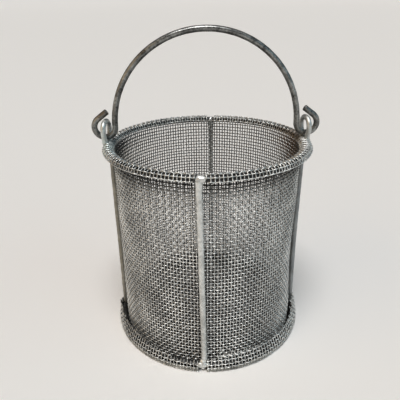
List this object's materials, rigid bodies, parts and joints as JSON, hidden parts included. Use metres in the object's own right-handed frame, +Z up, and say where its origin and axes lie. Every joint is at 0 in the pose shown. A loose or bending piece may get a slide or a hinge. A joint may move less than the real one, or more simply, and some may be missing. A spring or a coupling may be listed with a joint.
{
  "type": "strainer basket",
  "caption": "Round galvanised wire-cloth strainer basket on a round-bar frame, with a folded rim, a turned-up hem and a hooked wire bail that swings in two ears.",
  "frame": {"origin": "on the floor under the basket's axis", "axes": "+Z up along the basket's axis, X along the bail's hinge axis through both ears, -Y towards the front seam"},
  "size_m": [0.2208, 0.2024, 0.3076],
  "materials": {
    "wire_cloth": "hot-dip galvanised woven wire, dull and patchy",
    "frame_bar": "hot-dip galvanised round bar, worn smooth",
    "bail_bar": "weathered galvanised round bar, mottled"
  },
  "bodies": {
    "basket": {"wall_panel_left": "wire_cloth", "wall_panel_right": "wire_cloth", "bottom_screen": "wire_cloth", "rim_hoop": "frame_bar", "base_hoop": "frame_bar", "rib_front": "frame_bar", "rib_rear": "frame_bar", "rib_left": "frame_bar", "rib_right": "frame_bar", "ear_left": "frame_bar", "ear_right": "frame_bar"},
    "bail": {"bail": "bail_bar"}
  },
  "joints": [
    {"name": "bail_swing", "type": "hinge", "parent": "basket", "child": "bail", "pos_m": [0, 0, 0.2076], "axis": [1, 0, 0], "range_deg": [-90, 90]}
  ]
}
